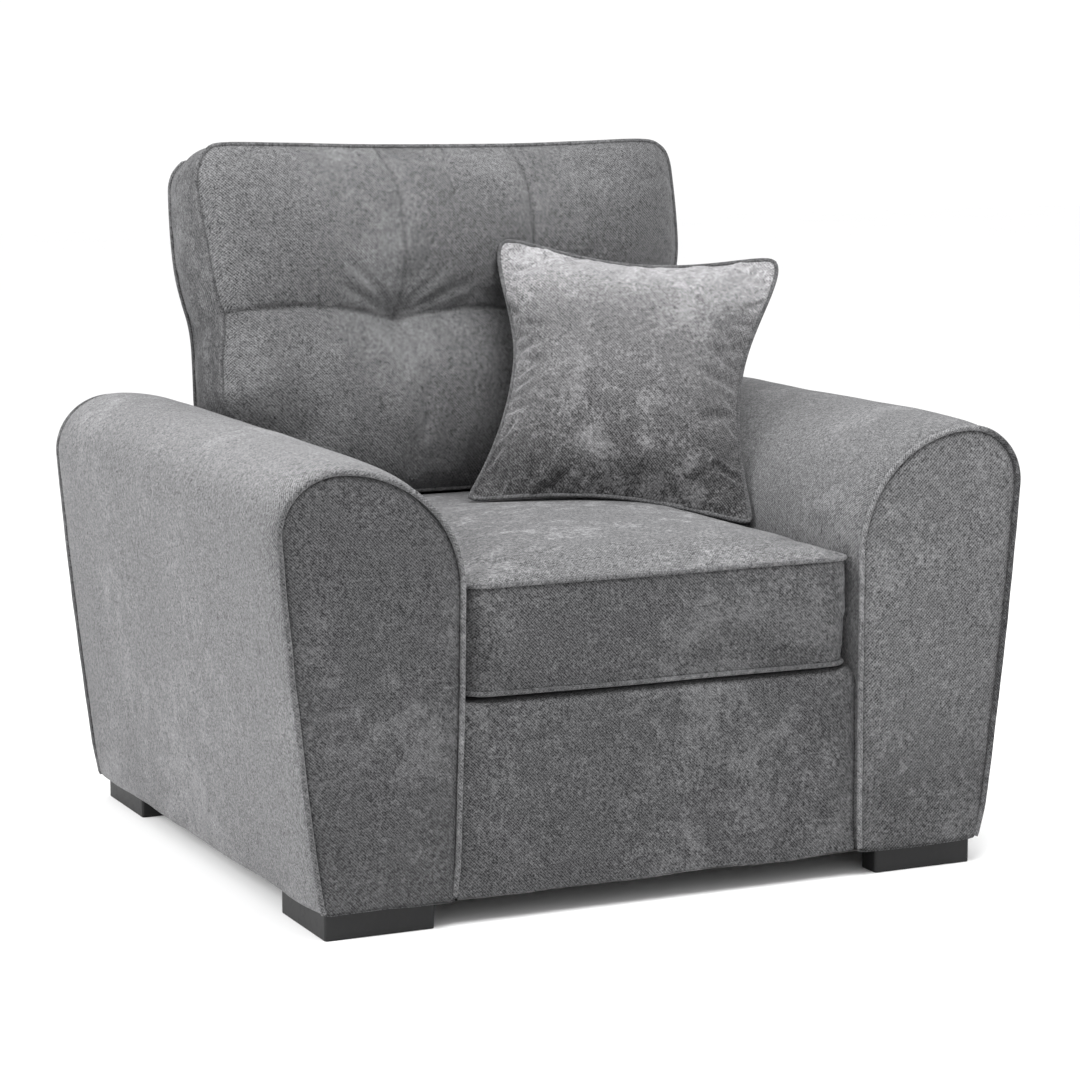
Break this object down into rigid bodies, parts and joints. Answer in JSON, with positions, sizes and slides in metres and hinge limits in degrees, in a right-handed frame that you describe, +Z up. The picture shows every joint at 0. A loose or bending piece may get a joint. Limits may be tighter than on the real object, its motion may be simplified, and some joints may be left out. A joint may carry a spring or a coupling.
{
  "type": "upholstered armchair",
  "caption": "Low, wide upholstered armchair with rounded arms, loose seat and back cushions, a leaning scatter cushion and short corner feet.",
  "frame": {"origin": "on the floor, under the middle of the chair's bounding box", "axes": "+X towards the chair's own left-to-right width (the side the scatter cushion leans on), +Y from the front to the back, +Z up"},
  "size_m": [1.077, 0.911, 0.9675],
  "materials": {
    "upholstery": "brushed woven chenille",
    "piping": "woven chenille over cord",
    "scatter_fabric": "brushed velvet",
    "foam": "open-cell foam",
    "fibre": "hollow-fibre filling",
    "felt": "needled felt",
    "lining_cloth": "plain lining cloth",
    "dust_cloth": "spunbonded cloth",
    "webbing": "elastic webbing",
    "timber": "sawn softwood",
    "plywood": "sanded plywood",
    "board": "stiff upholstery board",
    "steel": "zinc-plated steel",
    "feet": "matte moulded plastic"
  },
  "bodies": {
    "chair_frame": {"arm_left_cover": "upholstery", "arm_left_front_facing": "upholstery", "arm_left_rear_facing": "upholstery", "arm_left_piping": "piping", "arm_left_foam": "foam", "arm_left_outer_board": "board", "arm_left_front_panel": "plywood", "arm_left_rear_panel": "plywood", "arm_left_lining": "board", "arm_left_top_rail": "timber", "arm_left_inner_rail": "timber", "arm_left_bottom_rail": "timber", "arm_right_cover": "upholstery", "arm_right_front_facing": "upholstery", "arm_right_rear_facing": "upholstery", "arm_right_piping": "piping", "arm_right_foam": "foam", "arm_right_outer_board": "board", "arm_right_front_panel": "plywood", "arm_right_rear_panel": "plywood", "arm_right_lining": "board", "arm_right_top_rail": "timber", "arm_right_inner_rail": "timber", "arm_right_bottom_rail": "timber", "foot_front_left": "feet", "foot_front_right": "feet", "foot_rear_left": "feet", "foot_rear_right": "feet", "foot_screws": "steel", "arm_bolts": "steel", "seat_front_rail": "timber", "seat_side_rail_left": "timber", "seat_side_rail_right": "timber", "seat_rear_rail": "timber", "seat_corner_blocks": "timber", "seat_springs": "steel", "seat_spring_clips": "steel", "deck_pad": "felt", "deck_cover": "lining_cloth", "front_border_cover": "upholstery", "front_border_pad": "foam", "dust_cover": "dust_cloth", "back_inside_cover": "upholstery", "back_pad": "foam", "back_post_left": "timber", "back_post_right": "timber", "back_top_rail": "timber", "back_lower_rail": "timber", "back_webbing": "webbing", "back_board": "board", "outside_back_cover": "upholstery"},
    "seat_cushion": {"seat_cushion_cover": "upholstery", "seat_cushion_core": "foam", "seat_cushion_piping": "piping"},
    "back_cushion": {"back_cushion_cover": "upholstery", "back_cushion_filling": "fibre", "back_cushion_piping": "piping"},
    "scatter_cushion": {"scatter_cushion_cover": "scatter_fabric", "scatter_cushion_filling": "fibre", "scatter_cushion_piping": "scatter_fabric"}
  },
  "joints": [
    {"name": "seat_cushion_slide", "type": "slide", "parent": "chair_frame", "child": "seat_cushion", "axis": [0, -1, 0], "range_m": [0, 0.82]},
    {"name": "back_cushion_lift", "type": "slide", "parent": "chair_frame", "child": "back_cushion", "axis": [0, 0.0785, 0.9969], "range_m": [0, 0.35]},
    {"name": "scatter_cushion_lift", "type": "slide", "parent": "seat_cushion", "child": "scatter_cushion", "axis": [0, -0.5, 0.866], "range_m": [0, 0.3]}
  ]
}
